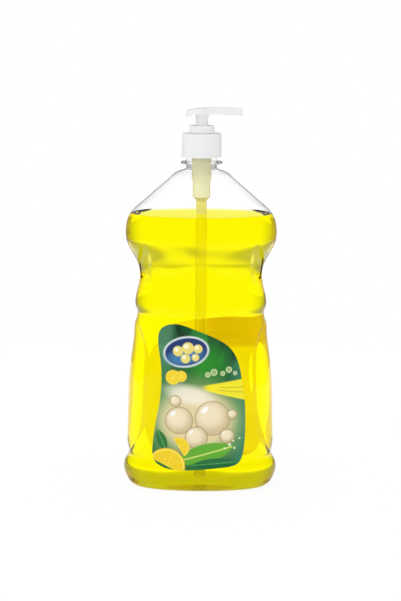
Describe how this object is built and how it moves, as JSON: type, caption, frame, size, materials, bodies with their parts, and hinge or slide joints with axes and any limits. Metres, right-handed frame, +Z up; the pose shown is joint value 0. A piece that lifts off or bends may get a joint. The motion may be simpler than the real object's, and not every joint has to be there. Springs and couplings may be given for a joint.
{
  "type": "dish soap bottle",
  "caption": "Clear waisted bottle of yellow dish soap with printed film labels and a lock-down lotion pump on a screw collar.",
  "frame": {"origin": "middle of the foot, on the surface that the bottle stands on, on the neck's axis", "axes": "+Z up along the neck; +X the way the nozzle points; -Y towards the front label"},
  "size_m": [0.126, 0.0768, 0.3113],
  "materials": {
    "clear_pet": "clear gloss",
    "yellow_soap": "clear liquid",
    "label_film": "printed film",
    "back_film": "printed film",
    "white_pump": "moulded gloss",
    "milky_plastic": "milky moulded",
    "tube_plastic": "milky extruded",
    "soft_seal": "soft moulded",
    "spring_wire": "drawn wire",
    "valve_ball": "polished"
  },
  "bodies": {
    "bottle": {"bottle": "clear_pet", "dish_liquid": "yellow_soap", "front_label": "label_film", "back_label": "back_film"},
    "gasket": {"gasket": "soft_seal"},
    "pump": {"pump_housing": "milky_plastic", "chaplet": "white_pump", "dip_tube": "tube_plastic", "return_spring": "spring_wire"},
    "closure": {"closure": "white_pump"},
    "piston": {"piston": "soft_seal", "piston_seat": "milky_plastic"},
    "head": {"actuator": "white_pump", "stem": "milky_plastic"},
    "inlet_ball": {"inlet_ball": "valve_ball"},
    "outlet_ball": {"outlet_ball": "valve_ball"}
  },
  "joints": [
    {"name": "pump_lift", "type": "slide", "parent": "bottle", "child": "gasket", "axis": [0, 0, 1], "range_m": [0, 0.285]},
    {"name": "thread_rise", "type": "slide", "parent": "gasket", "child": "pump", "axis": [0, 0, 1], "range_m": [0, 0.00635]},
    {"name": "closure_turn", "type": "hinge", "parent": "pump", "child": "closure", "pos_m": [0, 0, 0.28], "axis": [0, 0, 1], "range_deg": [0, 540]},
    {"name": "press_stroke", "type": "slide", "parent": "pump", "child": "piston", "axis": [0, 0, 1], "range_m": [0, 0.016], "deforming": ["return_spring"]},
    {"name": "head_turn", "type": "hinge", "parent": "piston", "child": "head", "pos_m": [0, 0, 0.3], "axis": [0, 0, 1], "continuous": true},
    {"name": "inlet_ball_lift", "type": "slide", "parent": "pump", "child": "inlet_ball", "axis": [0, 0, 1], "range_m": [0, 0.0014]},
    {"name": "outlet_ball_lift", "type": "slide", "parent": "head", "child": "outlet_ball", "axis": [0, 0, 1], "range_m": [0, 0.0014]}
  ],
  "couplings": [
    {"joint": "thread_rise", "follows": "closure_turn", "m_per_rad": 0.0006737}
  ]
}
